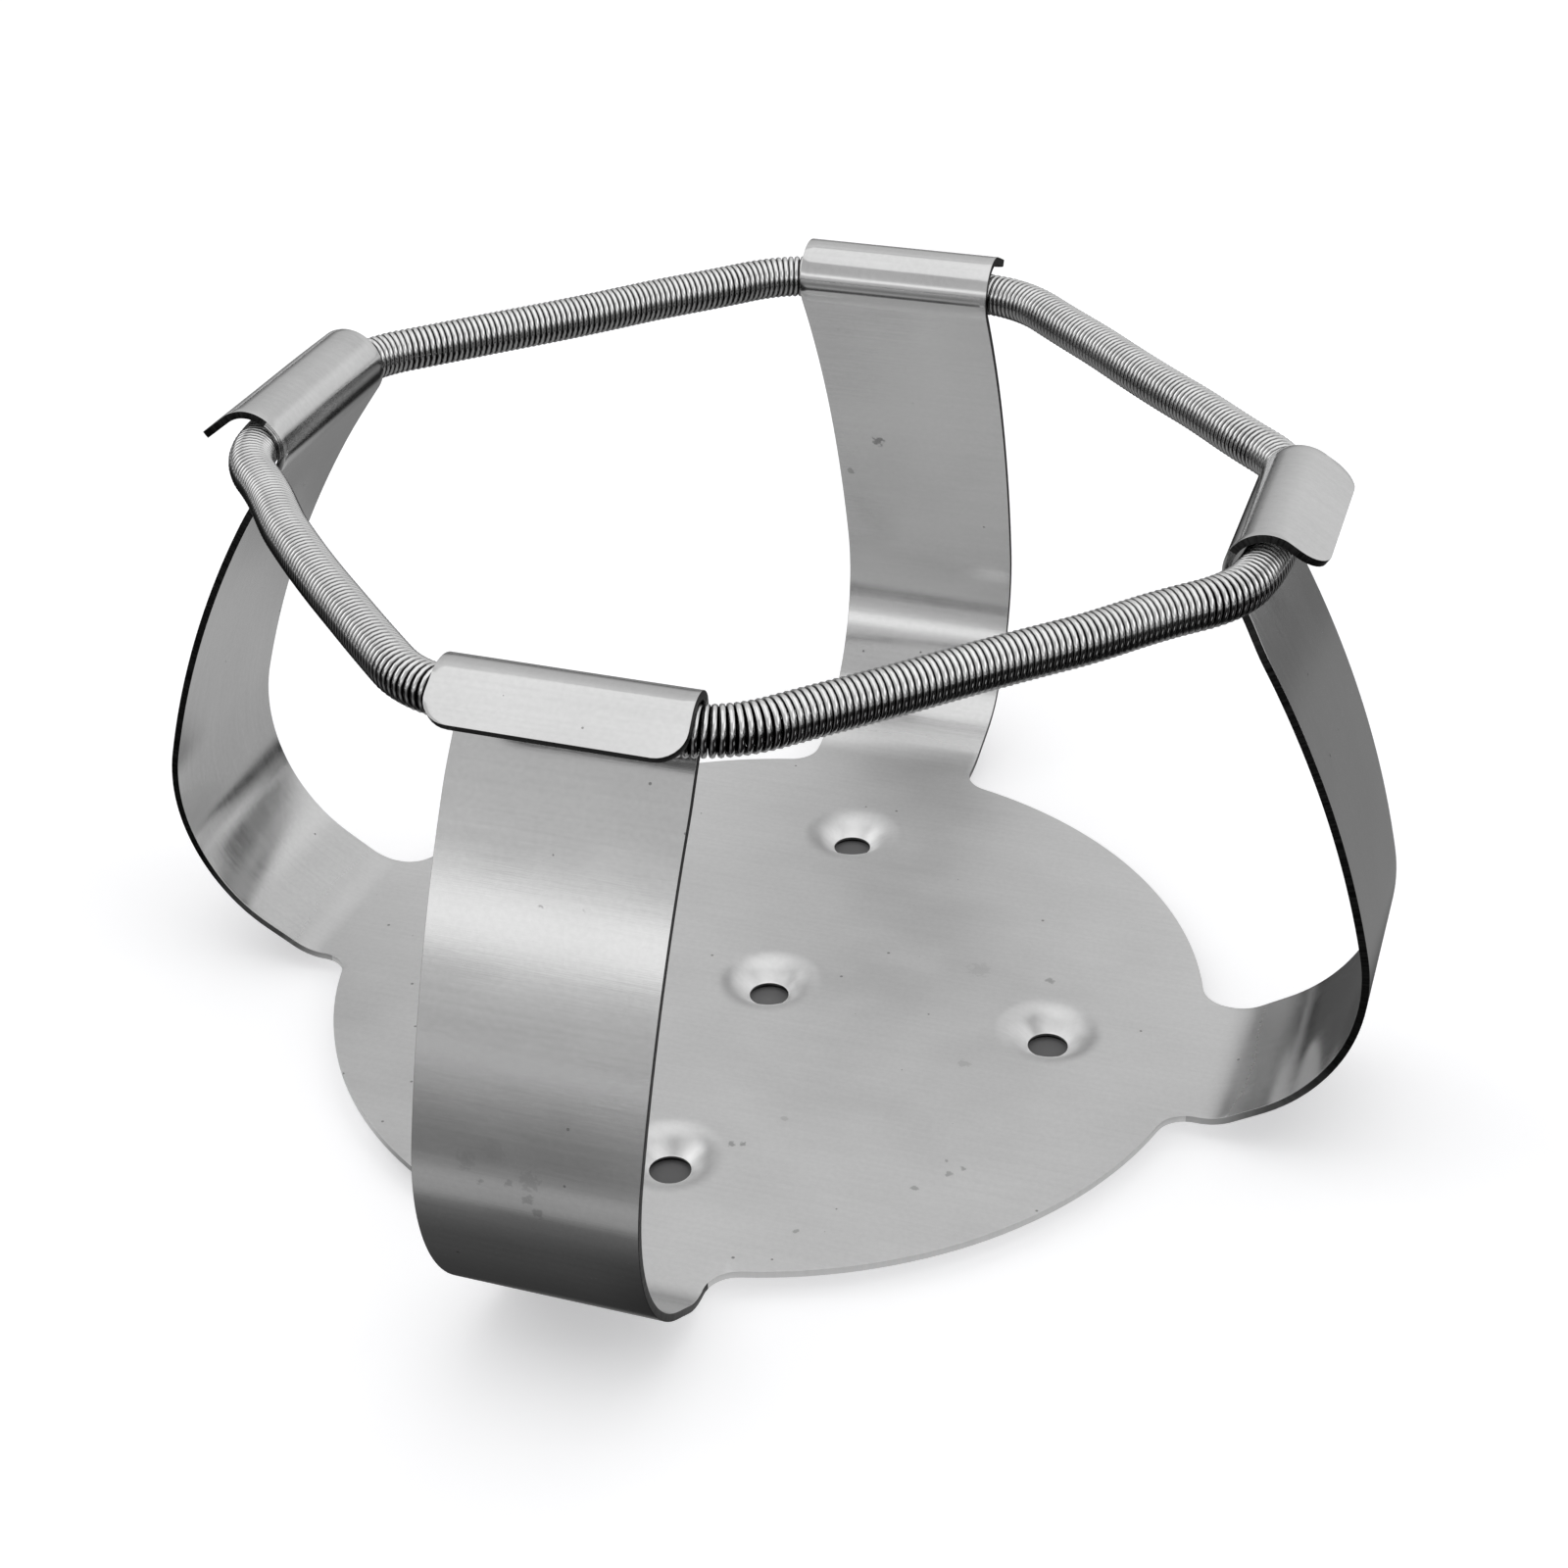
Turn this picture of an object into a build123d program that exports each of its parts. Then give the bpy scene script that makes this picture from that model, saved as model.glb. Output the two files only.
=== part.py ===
from build123d import *
import os
from math import asin, cos, degrees, radians, sin, sqrt

# Flask clamp for a shaker platform: one folded stainless sheet with four arms, and a closed
# coil spring that lies in the hooks at the arms' ends and draws them onto the flask.
# Millimetres, +Z up. The origin is on the clamp's axis, in the plane that its dimples stand on.

# Sheet and base plate
sheet = 0.8
base_diameter = 98.0
hole_diameter = 4.8
hole_circle_diameter = 65.0
dimple_depth = 2.0
dimple_slope = 50.0
dimple_bend_radius = 1.2
dimple_land = 0.4

# Arms, with the bends measured on the outer face of the sheet
arm_count = 4
foot_width = 20.5
hook_width = 22.3
neck_radius = 3.5
neck_straight = 0.3
toe_radius = 6.8
toe_turn = 33.0
ramp_length = 3.9
belly_radius = 20.6
belly_turn = 70.6
wall_radius = 113.0
wall_turn = 20.9
hook_turn = 147.4
lip_length = 5.6
lip_corner_radius = 2.6

# Spring ring
coil_diameter = 4.7
wire_diameter = 0.65
hook_clearance = 0.9
seat_clearance = 0.1
corner_radius = 12.5
run_turn = 3.5

# Levels and radii that follow
plate_top = dimple_depth + sheet
base_radius = base_diameter / 2
hole_radius = hole_diameter / 2
coil_radius = coil_diameter / 2
hook_inner_radius = coil_radius + hook_clearance
arm_spacing = 360 / arm_count

# The toe bend starts just outside the fillets between the plate and an arm.
fillet_centre_y = foot_width / 2 + neck_radius
neck_reach = sqrt((base_radius + neck_radius) ** 2 - fillet_centre_y**2) + neck_straight

# A dimple's slanted stretch makes up the depth that its two bends leave.
slope = radians(dimple_slope)
slant_length = (dimple_depth - 2 * dimple_bend_radius * (1 - cos(slope))) / sin(slope)
dimple_radius = hole_radius + dimple_land + 2 * dimple_bend_radius * sin(slope) + slant_length * cos(slope)


# One pressed dimple around a screw hole, with a flat ring at its foot
with BuildPart() as dimple:
    with BuildSketch(Plane.XZ):
        with BuildLine():
            land = Line((hole_radius, 0), (hole_radius + dimple_land, 0))
            rise = JernArc(land @ 1, land % 1, dimple_bend_radius, dimple_slope)
            slant = Line(rise @ 1, rise @ 1 + (rise % 1) * slant_length)
            shoulder = JernArc(slant @ 1, slant % 1, dimple_bend_radius, -dimple_slope)
            offset(amount=sheet, side=Side.LEFT)
        make_face()
    revolve(axis=Axis.Z)

# One arm: toe bend, ramp, belly, leaning wall, hook and lip, then cut to its taper
with BuildPart() as arm:
    with BuildSketch(Plane.XZ):
        with BuildLine():
            toe = JernArc((neck_reach, dimple_depth), (1, 0), toe_radius, toe_turn)
            ramp = Line(toe @ 1, toe @ 1 + (toe % 1) * ramp_length)
            belly = JernArc(ramp @ 1, ramp % 1, belly_radius, belly_turn)
            wall = JernArc(belly @ 1, belly % 1, wall_radius, wall_turn)
            hook = JernArc(wall @ 1, wall % 1, hook_inner_radius, -hook_turn)
            lip = Line(hook @ 1, hook @ 1 + (hook % 1) * lip_length)
            offset(amount=sheet, side=Side.LEFT)
        make_face()
    extrude(amount=hook_width / 2, both=True)
    lip_corners = arm.edges().group_by(Edge.length)[0].sort_by(Axis.X)[-2:]
    fillet(lip_corners, radius=lip_corner_radius)
    crest = hook.arc_center.Y + hook_inner_radius + sheet
    with BuildSketch(Plane.YZ):
        with BuildLine():
            Polyline(
                (0, 0),
                (foot_width / 2, 0),
                (foot_width / 2, plate_top),
                (hook_width / 2, crest),
                (0, crest),
            )
            mirror(about=Plane.YZ)
        make_face()
    extrude(amount=base_diameter, mode=Mode.INTERSECT)

# The whole sheet: the plate with its filleted necks, the dimples and the arms
with BuildPart() as clamp_body:
    with BuildSketch(Plane.XY.offset(dimple_depth)) as plate:
        Circle(base_radius)
        with PolarLocations(0, arm_count):
            Rectangle(neck_reach, foot_width, align=(Align.MIN, Align.CENTER))
        neck_corners = plate.vertices().sort_by_distance((0, 0, 0))[: 2 * arm_count]
        fillet(neck_corners, radius=neck_radius)
        Circle(dimple_radius, mode=Mode.SUBTRACT)
        with PolarLocations(hole_circle_diameter / 2, arm_count):
            Circle(dimple_radius, mode=Mode.SUBTRACT)
    extrude(amount=sheet)
    add(dimple.part)
    with PolarLocations(hole_circle_diameter / 2, arm_count):
        add(dimple.part)
    with PolarLocations(0, arm_count):
        add(arm.part)

clamp_body.part.label = "clamp_body"

# Under a hook the spring bows outward: it bears on the arm's two edges and stands clear of the
# hook's middle. Past each edge it turns a corner, and a nearly straight run leads to the next arm.
ring_reach = hook.arc_center.X
ring_height = hook.arc_center.Y
seat_half = hook_width / 2
seat_bow = hook_clearance - seat_clearance
seat_radius = (seat_half**2 + seat_bow**2) / (2 * seat_bow)
seat_half_turn = degrees(asin(seat_half / seat_radius))
corner_turn = arm_spacing / 2 - seat_half_turn - run_turn / 2

with BuildPart() as garter_spring:
    with BuildLine(Plane.XY.offset(ring_height)):
        start = Vector(ring_reach, 0)
        heading = Vector(0, 1)
        for side in range(arm_count):
            seat = JernArc(start, heading, seat_radius, seat_half_turn)
            corner = JernArc(seat @ 1, seat % 1, corner_radius, corner_turn)
            # The run is symmetric about the plane midway between two arms.
            across = Vector(0, 1).rotate(Axis.Z, (side + 0.5) * arm_spacing)
            half_chord = -(corner @ 1).dot(across)
            run_radius = half_chord / sin(radians(run_turn / 2))
            run = JernArc(corner @ 1, corner % 1, run_radius, run_turn)
            next_corner = JernArc(run @ 1, run % 1, corner_radius, corner_turn)
            next_seat = JernArc(next_corner @ 1, next_corner % 1, seat_radius, seat_half_turn)
            start = next_seat @ 1
            heading = next_seat % 1
    with BuildSketch(Plane(origin=(ring_reach, 0, ring_height), z_dir=(0, 1, 0))):
        Circle(coil_radius)
        Circle(coil_radius - wire_diameter, mode=Mode.SUBTRACT)
    sweep()

garter_spring.part.label = "garter_spring"

os.makedirs("parts", exist_ok=True)
export_step(clamp_body.part, "parts/clamp_body.step")
export_step(garter_spring.part, "parts/garter_spring.step")
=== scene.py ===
from math import asin, atan2, ceil, cos, degrees, pi, radians, sin, sqrt

import bpy
import numpy as np
from mathutils import Matrix, Vector, noise
from mathutils.geometry import delaunay_2d_cdt


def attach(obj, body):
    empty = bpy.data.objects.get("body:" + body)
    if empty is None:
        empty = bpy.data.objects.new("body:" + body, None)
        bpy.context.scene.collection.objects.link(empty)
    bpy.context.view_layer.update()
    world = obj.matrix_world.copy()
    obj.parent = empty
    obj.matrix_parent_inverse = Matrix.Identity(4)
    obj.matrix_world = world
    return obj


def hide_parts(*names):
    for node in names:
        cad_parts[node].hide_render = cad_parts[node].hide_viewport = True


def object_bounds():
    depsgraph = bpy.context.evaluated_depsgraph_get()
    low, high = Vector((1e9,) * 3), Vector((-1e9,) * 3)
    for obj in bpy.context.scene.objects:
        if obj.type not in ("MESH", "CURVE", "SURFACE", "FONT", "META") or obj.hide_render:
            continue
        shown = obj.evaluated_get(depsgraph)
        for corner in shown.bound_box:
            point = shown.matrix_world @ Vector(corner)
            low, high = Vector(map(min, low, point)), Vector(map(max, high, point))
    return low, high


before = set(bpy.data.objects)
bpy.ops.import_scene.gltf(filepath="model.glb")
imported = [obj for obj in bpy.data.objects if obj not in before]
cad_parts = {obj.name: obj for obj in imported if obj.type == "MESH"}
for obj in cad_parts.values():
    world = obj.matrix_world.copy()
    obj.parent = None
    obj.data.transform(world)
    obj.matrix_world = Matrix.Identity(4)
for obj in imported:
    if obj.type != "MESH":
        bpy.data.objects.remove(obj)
cad_low, cad_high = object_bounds()

# Sizes are in millimetres, as in the part, and become metres when a mesh is made.
MM = 0.001

# Sheet, base plate and dimples
SHEET = 0.8
BASE_RADIUS = 49.0
HOLE_CIRCLE_RADIUS = 32.5
DIMPLE_DEPTH = 2.0

# A dimple's lower face: where it starts, its slope there and farther out, and its two bends, then
# how far past its start a wall still counts as the hole's own
DIMPLE_START = 2.5
DIMPLE_FIRST_SLOPE = 22.0
DIMPLE_SLOPE = 41.0
DIMPLE_FOOT_RADIUS = 1.3
DIMPLE_SHOULDER_RADIUS = 3.4
HOLE_MARGIN = 0.25

# Arms, with the bends measured on the outer face of the sheet
ARM_COUNT = 4
FOOT_WIDTH = 20.5
HOOK_WIDTH = 22.3
NECK_RADIUS = 3.5
NECK_STRAIGHT = 0.3
TOE_RADIUS = 6.8
TOE_TURN = 33.0
RAMP_LENGTH = 3.9
BELLY_RADIUS = 20.6
BELLY_TURN = 70.6
WALL_RADIUS = 113.0
WALL_TURN = 20.9
HOOK_TURN = 147.4
LIP_LENGTH = 5.6
LIP_CORNER_RADIUS = 2.9

# The arms were bent by hand and differ a little. Each row is one arm, anticlockwise from +X:
# changes of ramp length, belly turn, wall turn, hook turn and lip length, then what its clockwise
# and its anticlockwise edge gain in width low down, at the top, in the hook and at the lip's tip.
ARM_CHANGES = (
    (-0.5, -0.9, 0.2, 8.0, -1.5, (0.3, 0.0, -1.5, 0.0), (-0.1, 0.05, 0.2, 0.0)),
    (-0.15, -1.0, 0.1, 1.0, 0.0, (0.65, -0.3, 0.0, 0.0), (0.0, 0.5, 0.0, 0.0)),
    (-0.25, 1.0, 0.0, 16.0, -0.7, (-0.2, 1.0, 0.3, 0.0), (0.3, 0.8, -0.8, 0.0)),
    (-0.05, 1.3, -0.45, 8.0, -0.9, (0.7, 0.25, -0.2, -0.1), (0.0, 0.6, -0.2, 1.6)),
)
WIDENING_LENGTH = 12.0
FLARE_LENGTH = 13.5
HOOK_WIDENING_HEIGHTS = (58.0, 64.0)

# Spring ring
COIL_RADIUS = 2.35
WIRE_RADIUS = 0.325
HOOK_CLEARANCE = 0.9
SEAT_CLEARANCE = 0.1
CORNER_RADIUS = 12.5
RUN_TURN = 3.5
TURN_GAP = 0.02
BEND_OPENING = 0.3
BEND_SPREAD = 12.0

# How far each run lies inside the even ring in its middle and beside its two hooks,
# anticlockwise from the run after +X
RUN_INSETS = (0.9, 0.95, -0.5, 0.7)
CORNER_INSETS = ((0.5, 0.35), (0.5, 0.15), (0.6, -0.1), (0.25, 0.8))
CORNER_PLACE = 0.25
CORNER_REACH = 0.15

# What follows from those
PLATE_TOP = DIMPLE_DEPTH + SHEET
HOOK_INNER_RADIUS = COIL_RADIUS + HOOK_CLEARANCE
ARM_SPACING = 2 * pi / ARM_COUNT
FILLET_Y = FOOT_WIDTH / 2 + NECK_RADIUS
FILLET_X = sqrt((BASE_RADIUS + NECK_RADIUS) ** 2 - FILLET_Y**2)
NECK_REACH = FILLET_X + NECK_STRAIGHT
COIL_MIDDLE_RADIUS = COIL_RADIUS - WIRE_RADIUS

# Fineness of the meshes
ARM_STEP = 0.9
ARM_TURN_STEP = radians(4)
ARM_COLUMNS = 24
CORNER_ROWS = 8
DIMPLE_SIDES = 72
DIMPLE_STEP = 0.25
DIMPLE_TURN_STEP = radians(5)
PLATE_GRID = 2.2
RIM_STEP = radians(2)
FILLET_PIECES = 10
COIL_STEPS = 20
WIRE_SIDES = 8
PATH_STEP = COIL_RADIUS / 10
PATH_TURN_STEP = radians(1)
SPACING_STEP = WIRE_RADIUS / 4
MERGE_DISTANCE = 1e-6

# The sheet isn't perfectly flat: it swells and sinks a little, which bends what it reflects.
RIPPLE_HEIGHT = 0.03
RIPPLE_WAVE = 17.0
RIPPLE_MARGIN = 1.5
EDGE_ROUND = 0.14
EDGE_ROUND_STEPS = 3
EDGE_ROUND_ANGLE = 60.0

# The flat pattern of the sheet is kept as a UV map, one unit of it to this many millimetres.
UV_UNIT = 100.0


def arc(radius, turn):
    """A bend as (length, turn in radians); a positive turn is to the left."""
    return radius * radians(abs(turn)), radians(turn)


def line(length):
    return length, 0.0


def follow(start, heading, stretches, longest, widest):
    """Points along bends and straights: rows of x, y, heading and distance so far."""
    rows = [(*start, heading, 0.0)]
    for length, turn in stretches:
        x, y, heading, run = rows[-1]
        pieces = max(1, ceil(length / longest), ceil(abs(turn) / widest))
        for k in range(1, pieces + 1):
            share = k / pieces
            bent = heading + turn * share
            if turn:
                radius = length / turn
                dx = radius * (sin(bent) - sin(heading))
                dy = radius * (cos(heading) - cos(bent))
            else:
                dx = length * share * cos(heading)
                dy = length * share * sin(heading)
            rows.append((x + dx, y + dy, bent, run + length * share))
    return np.array(rows)


def arm_rows(ramp=0.0, belly=0.0, wall=0.0, hook=0.0, lip=0.0):
    """An arm's outer face from the fold at its foot to the lip's tip, with its own small changes."""
    corner_angles = np.linspace(0, pi / 2, CORNER_ROWS + 1)
    corner_lengths = LIP_CORNER_RADIUS * np.diff(np.sin(corner_angles))
    stretches = [
        arc(TOE_RADIUS, TOE_TURN),
        line(RAMP_LENGTH + ramp),
        arc(BELLY_RADIUS, BELLY_TURN + belly),
        arc(WALL_RADIUS, WALL_TURN + wall),
        arc(HOOK_INNER_RADIUS, -HOOK_TURN - hook),
        line(LIP_LENGTH + lip - LIP_CORNER_RADIUS),
    ]
    stretches += [line(length) for length in corner_lengths]
    return follow((NECK_REACH, DIMPLE_DEPTH), 0.0, stretches, ARM_STEP, ARM_TURN_STEP)


def hook_centre(rows, lip=0.0):
    """Radius and height of the middle of a hook, where the spring's centre line lies."""
    x, z, heading, _ = rows[-1]
    x -= (LIP_LENGTH + lip) * cos(heading)
    z -= (LIP_LENGTH + lip) * sin(heading)
    return np.array([x + HOOK_INNER_RADIUS * sin(heading), z - HOOK_INNER_RADIUS * cos(heading)])


RING_REACH, RING_HEIGHT = hook_centre(arm_rows())
CREST = RING_HEIGHT + HOOK_INNER_RADIUS + SHEET


def smooth(value):
    """0 below 0, 1 above 1 and a soft step between."""
    value = min(max(value, 0.0), 1.0)
    return value * value * (3 - 2 * value)


def ripple_share(lower, normal):
    """The ripple fades where the sheet nears the box around the part, so it stays inside."""
    margins = []
    for place in (lower, lower + normal * SHEET):
        for axis in range(3):
            margins.append(place[axis] - cad_low[axis] / MM)
            margins.append(cad_high[axis] / MM - place[axis])
    return smooth(min(margins) / RIPPLE_MARGIN)


class Sheet:
    """The folded sheet's upper and lower faces, as one set of facets over the flat pattern."""

    def __init__(self):
        self.index = {}
        self.upper = []
        self.lower = []
        self.flat = []
        self.facets = []

    def vertex(self, lower, normal, flat):
        lower = Vector(lower)
        normal = Vector(normal)
        key = tuple(round(value, 3) for value in lower)
        if key not in self.index:
            height = RIPPLE_HEIGHT * ripple_share(lower, normal)
            lower = lower + normal * height * noise.noise(lower / RIPPLE_WAVE)
            self.index[key] = len(self.upper)
            self.lower.append(lower)
            self.upper.append(lower + normal * SHEET)
            self.flat.append(flat)
        return self.index[key]

    def facet(self, *corners):
        self.facets.append(corners)


def turned(x, y, angle):
    return x * cos(angle) - y * sin(angle), x * sin(angle) + y * cos(angle)


def half_width(height, run, from_tip, gains):
    """From an arm's middle to one edge: a slow taper, its own gains, and the lip's round corners."""
    share = min(max((height - PLATE_TOP) / (CREST - PLATE_TOP), 0.0), 1.0)
    half = (FOOT_WIDTH + (HOOK_WIDTH - FOOT_WIDTH) * share) / 2
    low, top, hook, tip = gains
    half += (low + (top - low) * share) * smooth(run / WIDENING_LENGTH)
    first, last = HOOK_WIDENING_HEIGHTS
    half += hook * smooth((height - first) / (last - first))
    half += tip * max(1 - from_tip / FLARE_LENGTH, 0.0)
    if from_tip < LIP_CORNER_RADIUS:
        along = LIP_CORNER_RADIUS - from_tip
        half -= LIP_CORNER_RADIUS - sqrt(max(LIP_CORNER_RADIUS**2 - along**2, 0.0))
    return half


def add_arm(sheet, angle, changes):
    rows = arm_rows(*changes[:5])
    total = rows[-1, 3]
    grid = []
    for x, z, heading, run in rows:
        first, last = (half_width(z, run, total - run, gains) for gains in changes[5:])
        normal = (*turned(-sin(heading), 0.0, angle), cos(heading))
        row = []
        for across in np.linspace(-first, last, ARM_COLUMNS + 1):
            place = (*turned(x, across, angle), z)
            flat = turned(NECK_REACH + run, across, angle)
            row.append(sheet.vertex(place, normal, flat))
        grid.append(row)
    for row, following in zip(grid, grid[1:]):
        for k in range(ARM_COLUMNS):
            sheet.facet(row[k], following[k], following[k + 1], row[k + 1])


def dimple_rows():
    """Half section of a dimple's lower face, from the hole outward."""
    first, slope = radians(DIMPLE_FIRST_SLOPE), radians(DIMPLE_SLOPE)
    foot_rise = DIMPLE_FOOT_RADIUS * (cos(first) - cos(slope))
    shoulder_rise = DIMPLE_SHOULDER_RADIUS * (1 - cos(slope))
    stretches = [
        arc(DIMPLE_FOOT_RADIUS, DIMPLE_SLOPE - DIMPLE_FIRST_SLOPE),
        line((DIMPLE_DEPTH - foot_rise - shoulder_rise) / sin(slope)),
        arc(DIMPLE_SHOULDER_RADIUS, -DIMPLE_SLOPE),
    ]
    return follow((DIMPLE_START, 0.0), first, stretches, DIMPLE_STEP, DIMPLE_TURN_STEP)


def dimple_centres():
    around = [turned(HOLE_CIRCLE_RADIUS, 0.0, k * ARM_SPACING) for k in range(ARM_COUNT)]
    return [(0.0, 0.0), *around]


def add_dimple(sheet, centre, rows):
    angles = [2 * pi * k / DIMPLE_SIDES for k in range(DIMPLE_SIDES)]
    rings = []
    for radius, z, heading, _ in rows:
        ring = []
        for angle in angles:
            x = centre[0] + radius * cos(angle)
            y = centre[1] + radius * sin(angle)
            normal = (-sin(heading) * cos(angle), -sin(heading) * sin(angle), cos(heading))
            ring.append(sheet.vertex((x, y, z), normal, (x, y)))
        rings.append(ring)
    for inner, outer in zip(rings, rings[1:]):
        for k in range(DIMPLE_SIDES):
            after = (k + 1) % DIMPLE_SIDES
            sheet.facet(inner[k], outer[k], outer[after], inner[after])


def plate_outline():
    """The plate's outline with its necks, anticlockwise, as far as the arms' folds."""
    tangent_angle = atan2(FILLET_Y, FILLET_X)
    fillet_angles = np.linspace(pi - tangent_angle, pi / 2, FILLET_PIECES + 1)
    rim_pieces = ceil((ARM_SPACING - 2 * tangent_angle) / RIM_STEP)
    rim_angles = np.linspace(tangent_angle, ARM_SPACING - tangent_angle, rim_pieces + 1)[1:-1]
    entering = [
        (FILLET_X + NECK_RADIUS * cos(a), -FILLET_Y + NECK_RADIUS * sin(a)) for a in fillet_angles
    ]
    across = np.linspace(-FOOT_WIDTH / 2, FOOT_WIDTH / 2, ARM_COLUMNS + 1)
    fold_line = [(NECK_REACH, y) for y in across]
    leaving = [(x, -y) for x, y in reversed(entering)]
    rim = [(BASE_RADIUS * cos(a), BASE_RADIUS * sin(a)) for a in rim_angles]
    side = entering + fold_line + leaving + rim
    return [turned(x, y, k * ARM_SPACING) for k in range(ARM_COUNT) for x, y in side]


def inside(point, outline):
    """Whether a line from the point crosses the outline an odd number of times."""
    x, y = point
    found = False
    for (x0, y0), (x1, y1) in zip(outline, outline[1:] + outline[:1]):
        if (y0 > y) != (y1 > y) and x < x0 + (x1 - x0) * (y - y0) / (y1 - y0):
            found = not found
    return found


def add_plate(sheet, dimple_radius):
    outline = plate_outline()
    centres = dimple_centres()
    points = list(outline)
    edges = [(k, (k + 1) % len(outline)) for k in range(len(outline))]
    for cx, cy in centres:
        first = len(points)
        for k in range(DIMPLE_SIDES):
            angle = 2 * pi * k / DIMPLE_SIDES
            points.append((cx + dimple_radius * cos(angle), cy + dimple_radius * sin(angle)))
            edges.append((first + k, first + (k + 1) % DIMPLE_SIDES))

    def clear(x, y, margin):
        reach = (dimple_radius + margin) ** 2
        return all((x - cx) ** 2 + (y - cy) ** 2 > reach for cx, cy in centres)

    # Points in a triangular grid fill the plate between its outline and the dimples.
    margin = PLATE_GRID / 2
    rows = ceil(2 * BASE_RADIUS / (PLATE_GRID * sin(pi / 3)))
    for j in range(-rows, rows + 1):
        for i in range(-rows, rows + 1):
            x = (i + 0.5 * (j % 2)) * PLATE_GRID
            y = j * PLATE_GRID * sin(pi / 3)
            if x * x + y * y < (BASE_RADIUS - margin) ** 2 and clear(x, y, margin):
                points.append((x, y))
    vectors = [Vector(point) for point in points]
    places, _, triangles = delaunay_2d_cdt(vectors, edges, [], 0, MERGE_DISTANCE)[:3]
    numbers = [sheet.vertex((p.x, p.y, DIMPLE_DEPTH), (0, 0, 1), (p.x, p.y)) for p in places]
    for corners in triangles:
        middle = sum((places[c] for c in corners), Vector((0, 0))) / len(corners)
        if clear(middle.x, middle.y, 0.0) and inside(middle, outline):
            sheet.facet(*(numbers[c] for c in corners))


def dark_wall(first, second):
    """Whether the wall between two points is a cut edge painted dark as shade: on an arm or in a hole.
    """
    if max(first.xy.length, second.xy.length) > NECK_REACH:
        return True
    hole_reach = DIMPLE_START + HOLE_MARGIN
    return any((first.xy - Vector(centre)).length < hole_reach for centre in dimple_centres())


def sheet_mesh(sheet):
    """A closed mesh: both faces, and walls along every free edge. Walls painted dark as shade are in
    slot 1.
    """
    count = len(sheet.upper)
    vertices = [v * MM for v in sheet.upper + sheet.lower]
    free = {}
    for facet in sheet.facets:
        for a, b in zip(facet, facet[1:] + facet[:1]):
            if free.pop((b, a), None) is None:
                free[(a, b)] = True
    upper = list(sheet.facets)
    lower = [tuple(c + count for c in reversed(facet)) for facet in sheet.facets]
    walls = [(a + count, b + count, b, a) for a, b in free]
    cut = [dark_wall(sheet.lower[a], sheet.lower[b]) for a, b in free]
    mesh = bpy.data.meshes.new("clamp_sheet")
    mesh.from_pydata(vertices, [], upper + lower + walls)
    slots = [0] * (len(upper) + len(lower)) + [int(dark) for dark in cut]
    mesh.polygons.foreach_set("material_index", slots)
    mesh.polygons.foreach_set("use_smooth", [True] * len(slots))
    flat = mesh.uv_layers.new(name="flat_pattern")
    for loop in mesh.loops:
        u, v = sheet.flat[loop.vertex_index % count]
        flat.data[loop.index].uv = (u / UV_UNIT, v / UV_UNIT)
    mesh.validate()
    return mesh


def build_clamp():
    sheet = Sheet()
    rows = dimple_rows()
    for centre in dimple_centres():
        add_dimple(sheet, centre, rows)
    add_plate(sheet, rows[-1, 0])
    for k, changes in enumerate(ARM_CHANGES):
        add_arm(sheet, k * ARM_SPACING, changes)
    piece = bpy.data.objects.new("folded_sheet", sheet_mesh(sheet))
    bpy.context.scene.collection.objects.link(piece)
    rounding = piece.modifiers.new("edge_round", "BEVEL")
    rounding.width = EDGE_ROUND * MM
    rounding.segments = EDGE_ROUND_STEPS
    rounding.limit_method = "ANGLE"
    rounding.angle_limit = radians(EDGE_ROUND_ANGLE)
    normals = piece.modifiers.new("flat_faces", "WEIGHTED_NORMAL")
    normals.keep_sharp = False
    return piece


def ring_path():
    """The spring's centre line in plan, once around, with how far apart its turns lie there."""
    bow = HOOK_CLEARANCE - SEAT_CLEARANCE
    half = HOOK_WIDTH / 2
    seat_radius = (half**2 + bow**2) / (2 * bow)
    seat_turn = degrees(asin(half / seat_radius))
    corner_turn = 180 / ARM_COUNT - seat_turn - RUN_TURN / 2
    first = [arc(seat_radius, seat_turn), arc(CORNER_RADIUS, corner_turn)]
    x, y = follow((RING_REACH, 0.0), pi / 2, first, CORNER_RADIUS, pi)[-1, :2]
    middle = ARM_SPACING / 2
    half_chord = x * sin(middle) - y * cos(middle)
    run = arc(half_chord / sin(radians(RUN_TURN / 2)), RUN_TURN)
    stretches = (first + [run] + first[::-1]) * ARM_COUNT
    return follow((RING_REACH, 0.0), pi / 2, stretches, PATH_STEP, PATH_TURN_STEP), stretches


def turn_spacing(runs, stretches):
    """Distance between turns at each point: they part a little along the bends."""
    starts = np.cumsum([0.0] + [length for length, _ in stretches])
    bends = np.array([turn / length for length, turn in stretches])
    which = np.clip(np.searchsorted(starts, runs, side="right") - 1, 0, len(bends) - 1)
    spacing = (2 * WIRE_RADIUS + TURN_GAP) / (1 - BEND_OPENING * COIL_MIDDLE_RADIUS * bends[which])
    step = runs[-1] / (len(runs) - 1)
    reach = ceil(BEND_SPREAD / step)
    window = np.hanning(2 * reach + 1)
    wrapped = np.concatenate([spacing[-reach - 1 : -1], spacing, spacing[1 : reach + 1]])
    return np.convolve(wrapped, window / window.sum(), mode="valid")


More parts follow.
